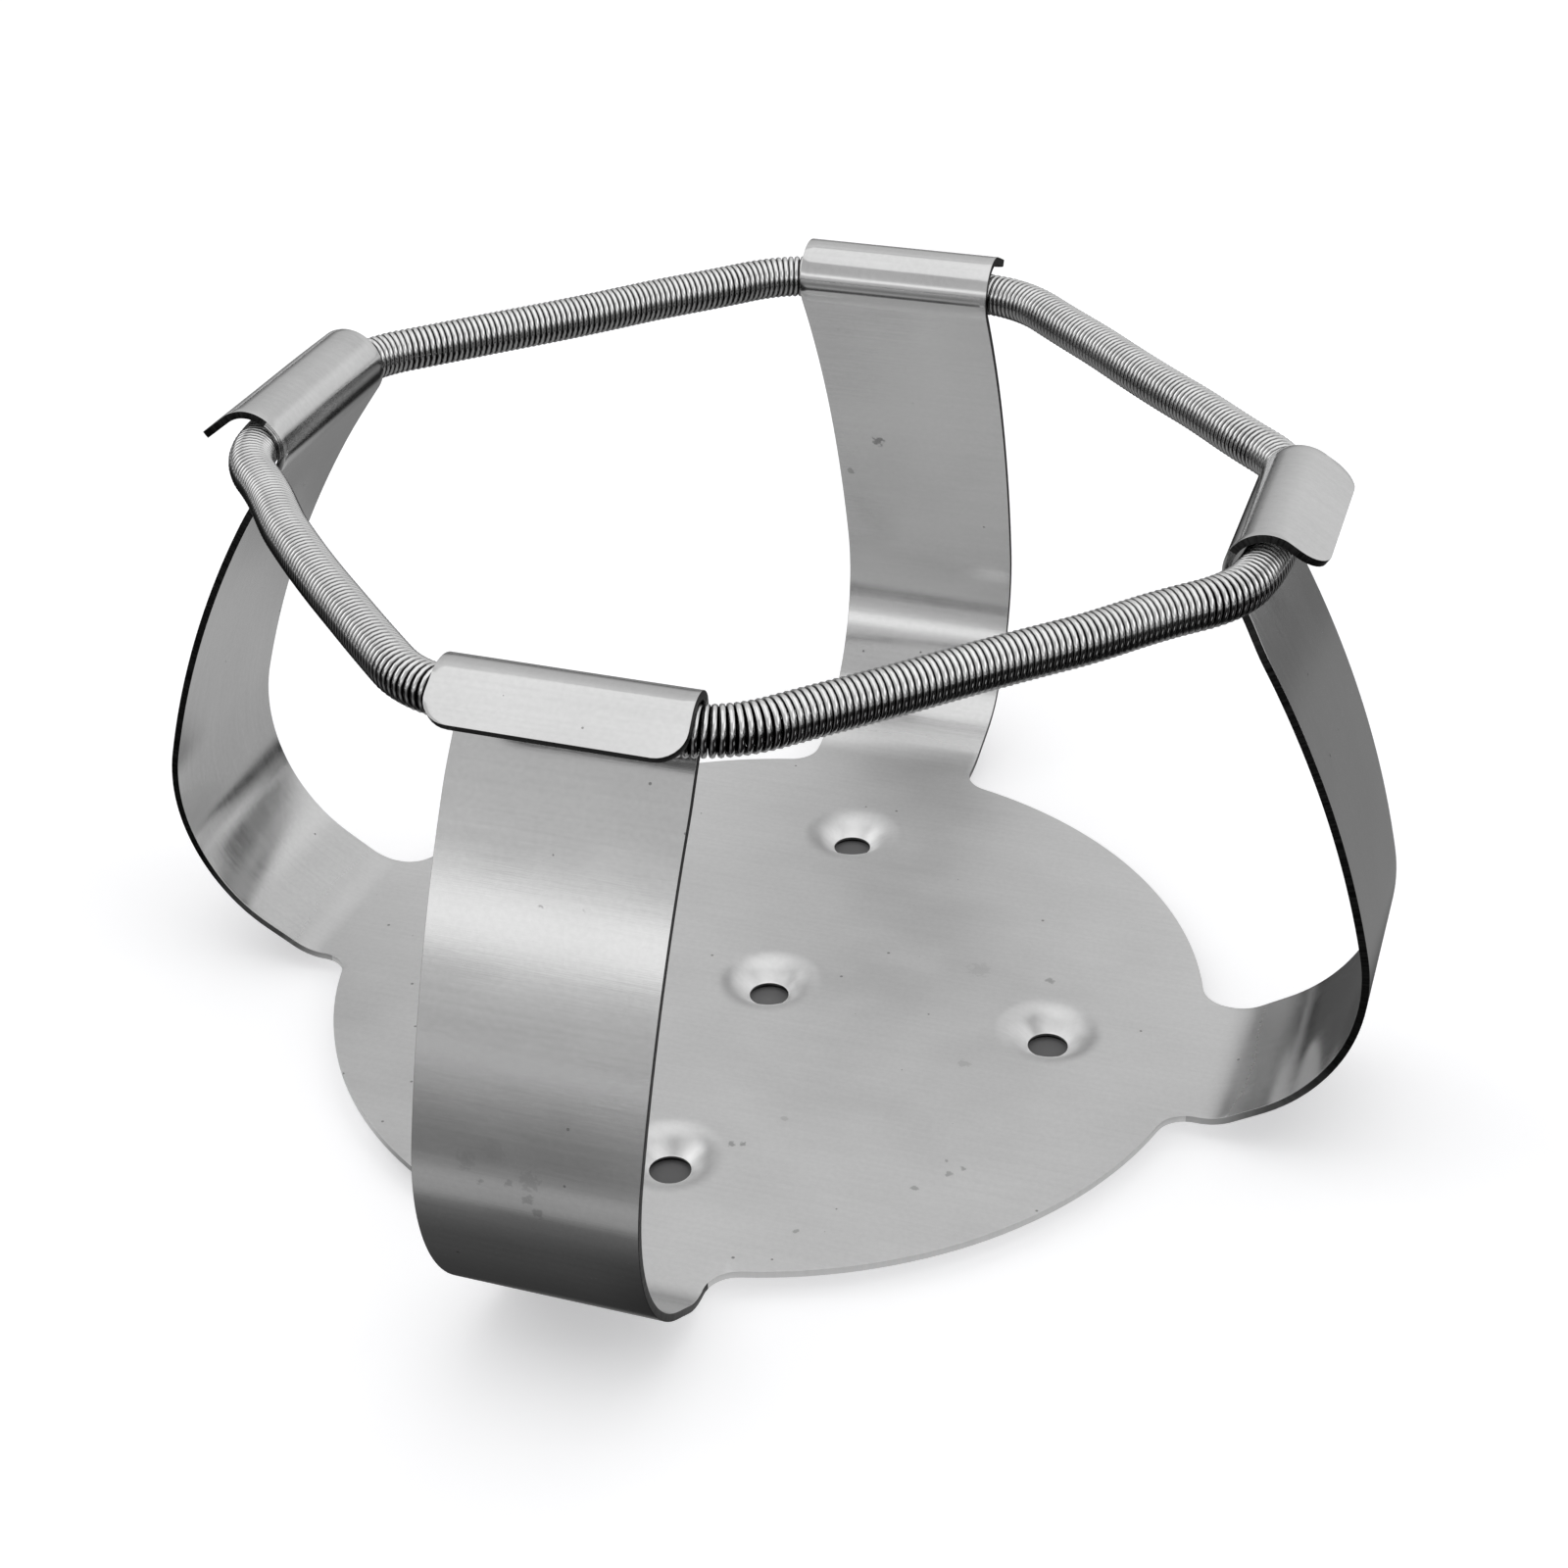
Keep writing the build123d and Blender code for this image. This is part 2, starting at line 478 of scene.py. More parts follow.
def ring_shifts(x, y):
    """How far the spring lies outward and up from the even ring, so that it follows the hooks."""
    even = np.array([RING_REACH, RING_HEIGHT])
    seats = np.array([hook_centre(arm_rows(*row[:5]), row[4]) - even for row in ARM_CHANGES])
    around = np.mod(np.arctan2(y, x), 2 * pi) / ARM_SPACING
    before = np.floor(around).astype(int) % ARM_COUNT
    share = around - np.floor(around)
    blend = (share * share * (3 - 2 * share))[:, None]
    shifts = seats[before] * (1 - blend) + seats[(before + 1) % ARM_COUNT] * blend
    inset = np.array(RUN_INSETS)[before] * np.sin(pi * share) ** 4
    for end, corner in ((0, CORNER_PLACE), (1, 1 - CORNER_PLACE)):
        nearness = np.clip(1 - abs(share - corner) / CORNER_REACH, 0, 1)
        inset += np.array(CORNER_INSETS)[before, end] * np.sin(pi / 2 * nearness) ** 2
    return shifts[:, 0] - inset, shifts[:, 1]


def wire_line():
    """The wire's centre line around the ring, two directions across it, and the turns so far."""
    rows, stretches = ring_path()
    length = rows[-1, 3]
    runs = np.linspace(0, length, ceil(length / SPACING_STEP) + 1)
    spacing = turn_spacing(runs, stretches)
    gaps = np.diff(runs)
    turns = np.concatenate([[0], np.cumsum(gaps / ((spacing[1:] + spacing[:-1]) / 2))])
    turn_count = round(turns[-1])
    turns *= turn_count / turns[-1]
    turn = np.arange(turn_count * COIL_STEPS) / COIL_STEPS
    run = np.interp(turn, turns, runs)
    x, y = (np.interp(run, rows[:, 3], rows[:, k]) for k in (0, 1))
    outward_shift, lift = ring_shifts(x, y)
    stretch = 1 + outward_shift / np.hypot(x, y)
    x, y = x * stretch, y * stretch
    heading = np.arctan2(np.roll(y, -1) - np.roll(y, 1), np.roll(x, -1) - np.roll(x, 1))
    phase = 2 * pi * turn
    zero = np.zeros_like(run)
    middle = np.stack([x, y, RING_HEIGHT + lift], 1)
    outward = np.stack([np.sin(heading), -np.cos(heading), zero], 1)
    upward = np.stack([zero, zero, zero + 1], 1)
    radial = np.cos(phase)[:, None] * outward + np.sin(phase)[:, None] * upward
    centre = middle + COIL_MIDDLE_RADIUS * radial
    along = np.roll(centre, -1, 0) - np.roll(centre, 1, 0)
    along /= np.linalg.norm(along, axis=1)[:, None]
    radial -= (radial * along).sum(1)[:, None] * along
    radial /= np.linalg.norm(radial, axis=1)[:, None]
    return centre, radial, np.cross(along, radial), turn


def build_spring():
    centre, radial, side, turn = wire_line()
    angles = 2 * pi * np.arange(WIRE_SIDES) / WIRE_SIDES
    circle = np.cos(angles)[None, :, None] * radial[:, None]
    circle = circle + np.sin(angles)[None, :, None] * side[:, None]
    vertices = (centre[:, None] + WIRE_RADIUS * circle).reshape(-1, 3) * MM
    ring = np.arange(len(centre))[:, None] * WIRE_SIDES
    next_ring = np.roll(ring, -1, 0)
    k = np.arange(WIRE_SIDES)[None]
    after = (k + 1) % WIRE_SIDES
    faces = np.stack([ring + k, ring + after, next_ring + after, next_ring + k], -1).reshape(-1, 4)
    mesh = bpy.data.meshes.new("wound_spring")
    mesh.from_pydata(vertices.tolist(), [], faces.tolist())
    mesh.polygons.foreach_set("use_smooth", [True] * len(mesh.polygons))
    corners = np.empty(len(mesh.loops), dtype=np.int64)
    mesh.loops.foreach_get("vertex_index", corners)
    outside = (np.cos(angles[corners % WIRE_SIDES]) + 1) / 2
    section = np.stack([turn[corners // WIRE_SIDES], outside], 1)
    mesh.uv_layers.new(name="turn_and_outside").data.foreach_set("uv", section.ravel())
    piece = bpy.data.objects.new("wound_spring", mesh)
    bpy.context.scene.collection.objects.link(piece)
    return piece


# Noise: how rough it is, and ranges that hold nearly all of its values and most of them
NOISE_ROUGHNESS = 0.55
NOISE_RANGE = (0.3, 0.7)
NARROW_NOISE_RANGE = (0.35, 0.65)


def add_node(tree, kind, inputs=(), **settings):
    """A shader node; each input is a number, a colour or the socket that feeds it."""
    made = tree.nodes.new(kind)
    for name, value in settings.items():
        setattr(made, name, value)
    for name, value in dict(inputs).items():
        if isinstance(value, bpy.types.NodeSocket):
            tree.links.new(value, made.inputs[name])
        else:
            made.inputs[name].default_value = value
    return made


def calculate(tree, operation, first, second=0.0):
    return add_node(tree, "ShaderNodeMath", {0: first, 1: second}, operation=operation).outputs[0]


def vector_step(tree, operation, first, second=None):
    """A step with vectors; its result is one number for a length, distance or dot product."""
    inputs = {0: first} if second is None else {0: first, 1: second}
    made = add_node(tree, "ShaderNodeVectorMath", inputs, operation=operation)
    return made.outputs["Vector" if operation in ("MULTIPLY", "NORMALIZE") else "Value"]


def split(tree, vector):
    return add_node(tree, "ShaderNodeSeparateXYZ", {0: vector}).outputs


def remap(tree, value, source, target):
    """value taken smoothly from the source range to the target range."""
    inputs = {
        "Value": value,
        "From Min": source[0],
        "From Max": source[1],
        "To Min": target[0],
        "To Max": target[1],
    }
    return add_node(tree, "ShaderNodeMapRange", inputs, interpolation_type="SMOOTHSTEP").outputs[0]


def stretched_noise(tree, place, scale, detail):
    """Noise whose grains are as long and wide as the two or three scales say."""
    moved = add_node(tree, "ShaderNodeMapping", {"Vector": place, "Scale": scale})
    inputs = {"Vector": moved.outputs[0], "Scale": 1.0, "Detail": detail, "Roughness": NOISE_ROUGHNESS}
    return add_node(tree, "ShaderNodeTexNoise", inputs).outputs[0]


def new_material(name):
    material = bpy.data.materials.new(name)
    material.use_nodes = True
    shader = material.node_tree.nodes["Principled BSDF"]
    return material, material.node_tree, shader


def grey(level):
    """A grey with a trace of blue."""
    return (level, level, level * 1.01, 1.0)


# Sheet's look: its reflectance and roughness, and how many grains, clouds, speckles and cells that
# may hold a pit there are along and across one unit of the flat pattern
SHEET_LEVEL = 0.62
SHEET_ROUGHNESS = 0.14
GRAIN_SCALE = (4.0, 190.0, 1.0)
FINE_GRAIN_SCALE = (30.0, 900.0, 1.0)
CLOUD_SCALE = (7.0, 9.0, 1.0)
SPECKLE_SCALE = (170.0, 170.0, 1.0)
PIT_SCALE = 26.0
PIT_CHANCE = 0.1
PIT_SIZE = 0.045
PIT_STRENGTH = 0.5
# How far grain, clouds and speckles darken and lighten the sheet, how far grain, clouds and dirt
# change its roughness, and how deep dirt goes beside the grain
GRAIN_SHADES = (-0.012, 0.012)
CLOUD_SHADES = (-0.02, 0.02)
SPECKLE_SHADES = (-0.012, 0.012)
GRAIN_ROUGHNESS = 0.01
CLOUD_ROUGHNESS = (-0.02, 0.03)
DIRT_ROUGHNESS = 0.3
DIRT_DEPTH = 2.0
BUMP = {"Strength": 0.012, "Distance": 0.0002}
# The plate is duller and paler than the arms, which were polished as they were bent. Round each
# hole it is less rough, and its colour is brightened there as a painted highlight. The ranges are in
# units of the flat pattern: from the plate's middle, and twice from a hole's.
PLATE_ROUGHNESS = 0.5
PLATE_SHINE = 1.1
PLATE_END = (0.5, 0.6)
DIMPLE_DULLNESS = 0.78
DIMPLE_DULL_END = (0.04, 0.08)
DIMPLE_HIGHLIGHT = 1.28
DIMPLE_HIGHLIGHT_END = (0.026, 0.052)
# A mark's outline swings between these shares of its radius, and it fades from the first to the
# second share of the way out.
MARK_OUTLINE = (0.5, 1.4)
MARK_FADE = (0.5, 1.0)
# Small marks and stains, as x, y, z, radius and strength
SHEET_MARKS = (
    (-0.2, -53.2, 60.0, 0.5, 0.8),
    (-1.3, -54.4, 57.9, 0.4, 0.7),
    (2.0, -53.6, 59.2, 0.3, 0.5),
    (7.2, -55.6, 55.9, 0.4, 0.5),
    (-0.7, -58.5, 50.2, 0.45, 0.7),
    (3.5, -58.3, 50.6, 0.45, 0.6),
    (-7.4, -52.5, 61.0, 0.4, 0.4),
    (-5.8, -66.7, 27.4, 1.1, 0.14),
    (-3.2, -66.3, 28.9, 1.4, 0.12),
    (0.4, -66.9, 26.7, 1.2, 0.16),
    (0.3, -67.2, 24.7, 0.7, 0.22),
    (1.2, -67.3, 23.5, 0.6, 0.25),
    (-1.6, -67.0, 26.0, 0.5, 0.2),
    (-4.4, -66.9, 25.6, 0.4, 0.2),
    (5.5, -29.0, 2.8, 0.5, 0.35),
    (6.7, -28.6, 2.8, 0.45, 0.35),
    (30.5, 9.2, 2.8, 0.6, 0.3),
    (25.1, -8.5, 2.8, 0.9, 0.15),
    (22.3, 8.9, 2.8, 1.6, 0.1),
    (28.4, -26.9, 2.8, 0.5, 0.3),
    (29.6, -25.6, 2.8, 0.4, 0.3),
    (25.7, -30.1, 2.8, 0.5, 0.3),
    (27.7, -25.0, 2.8, 0.35, 0.3),
    (16.2, -40.0, 2.8, 0.4, 0.3),
    (9.5, -23.4, 2.8, 0.5, 0.15),
    (-5.4, 61.1, 42.4, 0.9, 0.5),
    (-9.5, 63.1, 36.9, 0.6, 0.3),
)


def combined(tree, level):
    """A level as a grey."""
    tint = add_node(tree, "ShaderNodeCombineColor", {"Red": level, "Green": level, "Blue": level})
    return tint.outputs[0]


def add_marks(tree, place, wobble):
    """One mask that is 1 in every small mark listed for the sheet, with uneven outlines."""
    mask = None
    for x, y, z, radius, strength in SHEET_MARKS:
        centre = (x * MM, y * MM, z * MM)
        away = vector_step(tree, "DISTANCE", place, centre)
        reach = calculate(tree, "MULTIPLY", wobble, radius * MM)
        share = calculate(tree, "DIVIDE", away, reach)
        spot = remap(tree, share, MARK_FADE, (strength, 0.0))
        mask = spot if mask is None else calculate(tree, "MAXIMUM", mask, spot)
    return mask


def sheet_material():
    """Rolled stainless sheet: satin, with a faint straight grain, cloudiness, pits, marks and a
    painted highlight round each hole.
    """
    material, tree, shader = new_material("rolled_sheet")
    flat = add_node(tree, "ShaderNodeUVMap", uv_map="flat_pattern").outputs[0]
    place = add_node(tree, "ShaderNodeTexCoord").outputs["Object"]
    grain = stretched_noise(tree, flat, GRAIN_SCALE, 4.0)
    fine_grain = stretched_noise(tree, flat, FINE_GRAIN_SCALE, 2.0)
    clouds = stretched_noise(tree, flat, CLOUD_SCALE, 5.0)
    speckle = stretched_noise(tree, flat, SPECKLE_SCALE, 3.0)

    pits = add_node(
        tree,
        "ShaderNodeTexVoronoi",
        {"Vector": flat, "Scale": PIT_SCALE, "Randomness": 1.0},
        voronoi_dimensions="2D",
    )
    chance = add_node(tree, "ShaderNodeSeparateColor", {"Color": pits.outputs["Color"]}).outputs[0]
    pit_size = remap(tree, chance, (1 - PIT_CHANCE, 1.0), (0.0, PIT_SIZE))
    pit = calculate(tree, "LESS_THAN", pits.outputs["Distance"], pit_size)
    wobble = remap(tree, speckle, NARROW_NOISE_RANGE, MARK_OUTLINE)
    marks = add_marks(tree, place, wobble)
    dirt = calculate(tree, "MAXIMUM", calculate(tree, "MULTIPLY", pit, PIT_STRENGTH), marks)

    outward = vector_step(tree, "LENGTH", flat)
    dull = remap(tree, outward, PLATE_END, (PLATE_ROUGHNESS - SHEET_ROUGHNESS, 0.0))
    tone_and_highlight = remap(tree, outward, PLATE_END, (PLATE_SHINE, 1.0))
    # Round each hole the colour is brightened: a painted highlight.
    for x, y in dimple_centres():
        away = vector_step(tree, "DISTANCE", flat, (x / UV_UNIT, y / UV_UNIT, 0.0))
        duller = remap(tree, away, DIMPLE_DULL_END, (DIMPLE_DULLNESS, 1.0))
        dimple_highlight = remap(tree, away, DIMPLE_HIGHLIGHT_END, (DIMPLE_HIGHLIGHT, 1.0))
        dull = calculate(tree, "MULTIPLY", dull, duller)
        tone_and_highlight = calculate(tree, "MULTIPLY", tone_and_highlight, dimple_highlight)

    level = remap(tree, grain, NOISE_RANGE, GRAIN_SHADES)
    level = calculate(tree, "ADD", level, remap(tree, clouds, NOISE_RANGE, CLOUD_SHADES))
    level = calculate(tree, "ADD", level, remap(tree, speckle, NOISE_RANGE, SPECKLE_SHADES))
    level = calculate(tree, "ADD", level, SHEET_LEVEL)
    keep = calculate(tree, "SUBTRACT", 1.0, dirt)
    level = calculate(tree, "MULTIPLY", level, calculate(tree, "MULTIPLY", keep, tone_and_highlight))
    tree.links.new(combined(tree, level), shader.inputs["Base Color"])

    limits = (SHEET_ROUGHNESS - GRAIN_ROUGHNESS, SHEET_ROUGHNESS + GRAIN_ROUGHNESS)
    rough = remap(tree, grain, NOISE_RANGE, limits)
    cloudy = remap(tree, clouds, NARROW_NOISE_RANGE, CLOUD_ROUGHNESS)
    rough = calculate(tree, "ADD", rough, cloudy)
    rough = calculate(tree, "ADD", rough, calculate(tree, "MULTIPLY", dirt, DIRT_ROUGHNESS))
    rough = calculate(tree, "ADD", rough, dull)
    tree.links.new(rough, shader.inputs["Roughness"])

    height = calculate(tree, "ADD", grain, fine_grain)
    height = calculate(tree, "SUBTRACT", height, calculate(tree, "MULTIPLY", dirt, DIRT_DEPTH))
    bump = add_node(tree, "ShaderNodeBump", {"Height": height, **BUMP})
    tree.links.new(bump.outputs[0], shader.inputs["Normal"])
    shader.inputs["Metallic"].default_value = 1.0
    return material


# Cut edge's look: its marks, level and roughness; the level is near black, a painted shade. It is
# brighter low down and outside the plate, a painted light, and in front of this Y not at all.
EDGE_MARK_SCALE = (420.0, 420.0, 1.0)
EDGE_SHADE_LEVELS = (0.02, 0.05)
EDGE_ROUGHNESS = (0.4, 0.55)
EDGE_LOW_END = (0.005, 0.014)
EDGE_FRONT_END = (-0.05, -0.04)
EDGE_OUTSIDE_START = (0.042, 0.046)
EDGE_PAINTED_LIGHT = 0.4


def cut_edge_material():
    """The sheared edge: dull and painted dark as shade, with painted light low down on all arms but
    the near one.
    """
    material, tree, shader = new_material("cut_edge")
    flat = add_node(tree, "ShaderNodeUVMap", uv_map="flat_pattern").outputs[0]
    place = add_node(tree, "ShaderNodeTexCoord").outputs["Object"]
    parts = split(tree, place)
    marks = stretched_noise(tree, flat, EDGE_MARK_SCALE, 3.0)
    low = remap(tree, parts["Z"], EDGE_LOW_END, (1.0, 0.0))
    far = remap(tree, parts["Y"], EDGE_FRONT_END, (0.0, 1.0))
    outside = remap(tree, vector_step(tree, "LENGTH", place), EDGE_OUTSIDE_START, (0.0, 1.0))
    # Painted light: the edge is lighter low down, outside the plate and away from the front.
    bright = calculate(tree, "MULTIPLY", calculate(tree, "MULTIPLY", low, far), outside)
    # Painted shade: a near-black level, with marks.
    level = remap(tree, marks, NOISE_RANGE, EDGE_SHADE_LEVELS)
    level = calculate(tree, "ADD", level, calculate(tree, "MULTIPLY", bright, EDGE_PAINTED_LIGHT))
    tree.links.new(combined(tree, level), shader.inputs["Base Color"])
    rough = remap(tree, marks, NOISE_RANGE, EDGE_ROUGHNESS)
    tree.links.new(rough, shader.inputs["Roughness"])
    shader.inputs["Metallic"].default_value = 1.0
    return material


# Wire's look. Across the wire, 0 is its side toward the coil's middle and 1 the side away from it:
# painted shade between the turns is full below its range and ends above it. The whole ring has painted
# shade on its underside, fully from this far under its middle height and not at all from this far over
# it.
WIRE_LEVELS = (0.74, 0.82)
WIRE_ROUGHNESS = (0.12, 0.2)
WIRE_PATCH_SCALE = (260.0, 260.0, 260.0)
TURN_SHADE_RANGE = (0.68, 0.98)
TURN_SHADE_LEVEL = 0.1
UNDERSIDE_SHADE_LEVEL = 0.42
UNDERSIDE_SHADE_UNDER = 0.5
UNDERSIDE_SHADE_OVER = 0.9


def wire_material():
    """Bright drawn spring wire, with painted shade where its turns meet and on the ring's underside.
    """
    material, tree, shader = new_material("drawn_wire")
    place = add_node(tree, "ShaderNodeTexCoord").outputs["Object"]
    section = add_node(tree, "ShaderNodeUVMap", uv_map="turn_and_outside").outputs[0]
    patches = stretched_noise(tree, place, WIRE_PATCH_SCALE, 3.0)
    bright = remap(tree, patches, NOISE_RANGE, WIRE_LEVELS)
    # Painted shade between the turns: the wire darkens toward its sides, where the turns meet.
    turn_shade = remap(tree, split(tree, section)["Y"], TURN_SHADE_RANGE, (TURN_SHADE_LEVEL, 1.0))
    level = calculate(tree, "MULTIPLY", bright, turn_shade)
    # Painted shade: the whole ring darkens on its underside.
    heights = ((RING_HEIGHT - UNDERSIDE_SHADE_UNDER) * MM, (RING_HEIGHT + UNDERSIDE_SHADE_OVER) * MM)
    underside_shade = remap(tree, split(tree, place)["Z"], heights, (UNDERSIDE_SHADE_LEVEL, 1.0))
    level = calculate(tree, "MULTIPLY", level, underside_shade)
    tree.links.new(combined(tree, level), shader.inputs["Base Color"])
    rough = remap(tree, patches, NOISE_RANGE, WIRE_ROUGHNESS)
    tree.links.new(rough, shader.inputs["Roughness"])
    shader.inputs["Metallic"].default_value = 1.0
    return material


# Camera, as found from the photograph
CAMERA_PLACE = (0.08046, -0.23228, 0.17859)
CAMERA_AZIMUTH = 18.63
CAMERA_ELEVATION = 31.36
CAMERA_ROLL = -0.83
FOCAL_PIXELS = 2708.0
IMAGE_PIXELS = 1600
SENSOR_MM = 36.0


def build_camera():
    azimuth = radians(CAMERA_AZIMUTH)
    elevation = radians(CAMERA_ELEVATION)
    roll = radians(CAMERA_ROLL)
    back = Vector((sin(azimuth) * cos(elevation), -cos(azimuth) * cos(elevation), sin(elevation)))
    level = Vector((cos(azimuth), sin(azimuth), 0))
    upright = back.cross(level)
    right = cos(roll) * level + sin(roll) * upright
    up = cos(roll) * upright - sin(roll) * level
    camera = bpy.data.objects.new("camera", bpy.data.cameras.new("camera"))
    bpy.context.scene.collection.objects.link(camera)
    turn = Matrix((right, up, back)).transposed().to_4x4()
    camera.matrix_world = Matrix.Translation(CAMERA_PLACE) @ turn
    camera.data.sensor_width = SENSOR_MM
    camera.data.lens = FOCAL_PIXELS * SENSOR_MM / IMAGE_PIXELS
    camera.data.clip_start = 0.01
    camera.data.clip_end = 50
    bpy.context.scene.camera = camera


# Studio, in metres: a pale floor, a soft light overhead, and a surround that is brightest in a band
# above the horizon. A glowing card of painted light and shade lies round the object's foot and shows
# only in gloss.
FLOOR_SIZE = 12.0
FLOOR_DROP = 0.00003
OVERHEAD_HEIGHT = 1.0
OVERHEAD_RADIUS = 0.62
OVERHEAD_RADIANCE = 0.5
FLOOR_LEVEL = 0.86
SHADOW_PAD_LEVEL = 0.14
GROUND_ROUGHNESS = 0.9
# What the floor adds where it is seen, directly or in gloss, so that it shows white
FLOOR_LIFT = 0.32
# The surround's light by elevation in degrees: in front, behind to either hand, and at the sides
FRONT_LIGHT = (
    (0, 0.5), (4, 0.62), (9, 0.72), (12, 1.3), (16, 1.32),
    (20, 0.76), (25, 0.66), (50, 0.62), (60, 0.65),
)
LEFT_LIGHT = (
    (0, 0.06), (8, 0.3), (16, 0.58), (28, 0.65),
    (40, 0.74), (52, 0.85), (60, 0.68), (90, 0.65),
)
RIGHT_LIGHT = (
    (0, 0.55), (8, 0.85), (16, 0.88), (26, 0.95),
    (34, 0.76), (48, 0.82), (60, 0.66), (90, 0.65),
)
SIDE_LIGHT = (
    (0, 0.03), (10, 0.12), (18, 0.7), (25, 1.5),
    (38, 1.4), (48, 0.8), (56, 0.62), (90, 0.65),
)
SURROUND_STRENGTH = 2.0
# Where the lights blend, by the direction's parts: from left to right, from front to back, from
# those to the sides, and where the sides' light ends toward the back
RIGHT_BLEND = (-0.5, 0.6)
BACK_BLEND = (-0.5, 0.3)
SIDE_BLEND = (0.7, 0.92)
SIDE_END = (0.1, 0.6)
# The pad of painted shadow under the plate and the card round it, each a ring that is nearly closed in
# its middle
SHADOW_PAD_RADIUS = 0.042
RING_INNER = 0.00001
CARD_HEIGHT = 0.0004
CARD_OUTER = 1.5
# The card's glowing grey, painted light and shade, by distance from the clamp's axis in metres, mostly
# and in four sectors. A sector has its middle's bearing, clockwise from +Y, and the angles to where it
# is full and where it ends.
CARD_SHADES = ((0.05, 0.75), (0.054, 0.7), (0.058, 0.02), (0.3, 0.02), (0.5, 0.06), (1.5, 0.2))
CARD_SECTORS = (
    (
        (197, 15, 28),
        (
            (0.05, 0.4), (0.056, 0.04), (0.075, 0.08), (0.092, 0.16), (0.103, 0.42), (0.125, 0.45),
            (0.15, 0.32), (0.2, 0.24), (0.25, 0.25), (0.35, 0.34), (0.6, 0.45), (1.5, 0.5),
        ),
    ),
    (
        (318, 22, 36),
        ((0.05, 0.5), (0.077, 0.5), (0.09, 0.36), (0.1, 0.25), (0.25, 0.22), (0.6, 0.4), (1.5, 0.4)),
    ),
    (
        (44, 24, 38),
        ((0.05, 0.1), (0.07, 0.1), (0.09, 0.25), (0.24, 0.26), (0.33, 0.18), (0.7, 0.16), (1.5, 0.3)),
    ),
    (
        (126, 5, 9),
        (
            (0.05, 0.75), (0.054, 0.7), (0.058, 0.02), (0.11, 0.02),
            (0.12, 1.0), (0.165, 1.0), (0.18, 0.02),
        ),
    ),
)


def ring_mesh(name, outer, height, sides=96):
    """A flat ring of faces, nearly closed in its middle."""
    angles = [2 * pi * k / sides for k in range(sides)]
    vertices = [(r * cos(a), r * sin(a), height) for r in (RING_INNER, outer) for a in angles]
    faces = [(k, sides + k, sides + (k + 1) % sides, (k + 1) % sides) for k in range(sides)]
    mesh = bpy.data.meshes.new(name)
    mesh.from_pydata(vertices, [], faces)
    return mesh


def stage_object(name, mesh, material):
    thing = bpy.data.objects.new(name, mesh)
    bpy.context.scene.collection.objects.link(thing)
    mesh.materials.append(material)
    return thing


def only_in_gloss(thing):
    thing.visible_camera = False
    thing.visible_diffuse = False
    thing.visible_shadow = False
    thing.visible_transmission = False


def background_rays(tree):
    """1 for rays that show the background: to the camera, in gloss and through glass."""
    path = add_node(tree, "ShaderNodeLightPath").outputs
    gloss = calculate(tree, "MAXIMUM", path["Is Glossy Ray"], path["Is Transmission Ray"])
    return calculate(tree, "MAXIMUM", path["Is Camera Ray"], gloss)


def graded(tree, value, stops):
    """Greys by value, from rows of value and level in rising order."""
    ramp = add_node(tree, "ShaderNodeValToRGB", {"Fac": value})
    ramp.color_ramp.interpolation = "EASE"
    elements = ramp.color_ramp.elements
    while len(elements) < len(stops):
        elements.new(0.5)
    for element, (position, level) in zip(elements, stops):
        element.position = position
        element.color = (level, level, level, 1.0)
    return ramp.outputs[0]


def floor_material():
    material, tree, shader = new_material("floor_white")
    shader.inputs["Base Color"].default_value = grey(FLOOR_LEVEL)
    shader.inputs["Roughness"].default_value = GROUND_ROUGHNESS
    shader.inputs["Specular IOR Level"].default_value = 0.1
    shader.inputs["Emission Color"].default_value = grey(1.0)
    lift = calculate(tree, "MULTIPLY", background_rays(tree), FLOOR_LIFT)
    tree.links.new(lift, shader.inputs["Emission Strength"])
    return material


def shadow_pad_material():
    """Grey ground right under the plate, which shows in its holes: a painted shadow."""
    material, _, shader = new_material("shadow_pad_grey")
    shader.inputs["Base Color"].default_value = grey(SHADOW_PAD_LEVEL)
    shader.inputs["Roughness"].default_value = GROUND_ROUGHNESS
    return material


def mixed(tree, factor, first, second):
    """A mix of two colours, each a plain one or the socket that feeds it."""
    made = tree.nodes.new("ShaderNodeMix")
    made.data_type = "RGBA"
    tree.links.new(factor, made.inputs["Factor"])
    for name, source in (("A", first), ("B", second)):
        socket = next(s for s in made.inputs if s.name == name and s.type == "RGBA")
        if isinstance(source, bpy.types.NodeSocket):
            tree.links.new(source, socket)
        else:
            socket.default_value = source
    return next(s for s in made.outputs if s.type == "RGBA")


def card_shades(tree, share, shades):
    """The card's grey by distance, where share is the distance over the card's radius."""
    return graded(tree, share, [(radius / CARD_OUTER, level) for radius, level in shades])


def card_material():
    material, tree, shader = new_material("painted_light_card")
    place = add_node(tree, "ShaderNodeTexCoord").outputs["Object"]
    share = calculate(tree, "DIVIDE", vector_step(tree, "LENGTH", place), CARD_OUTER)
    level = card_shades(tree, share, CARD_SHADES)
    ahead = vector_step(tree, "NORMALIZE", place)
    for (bearing, full, end), shades in CARD_SECTORS:
        middle = (sin(radians(bearing)), cos(radians(bearing)), 0.0)
        limits = (cos(radians(end)), cos(radians(full)))
        within = remap(tree, vector_step(tree, "DOT_PRODUCT", ahead, middle), limits, (0.0, 1.0))
        level = mixed(tree, within, level, card_shades(tree, share, shades))
    # The card glows with its grey: painted light and shade that only gloss shows.
    glow = add_node(tree, "ShaderNodeEmission", {"Color": level, "Strength": 1.0})
    tree.links.new(glow.outputs[0], tree.nodes["Material Output"].inputs["Surface"])
    tree.nodes.remove(shader)
    return material


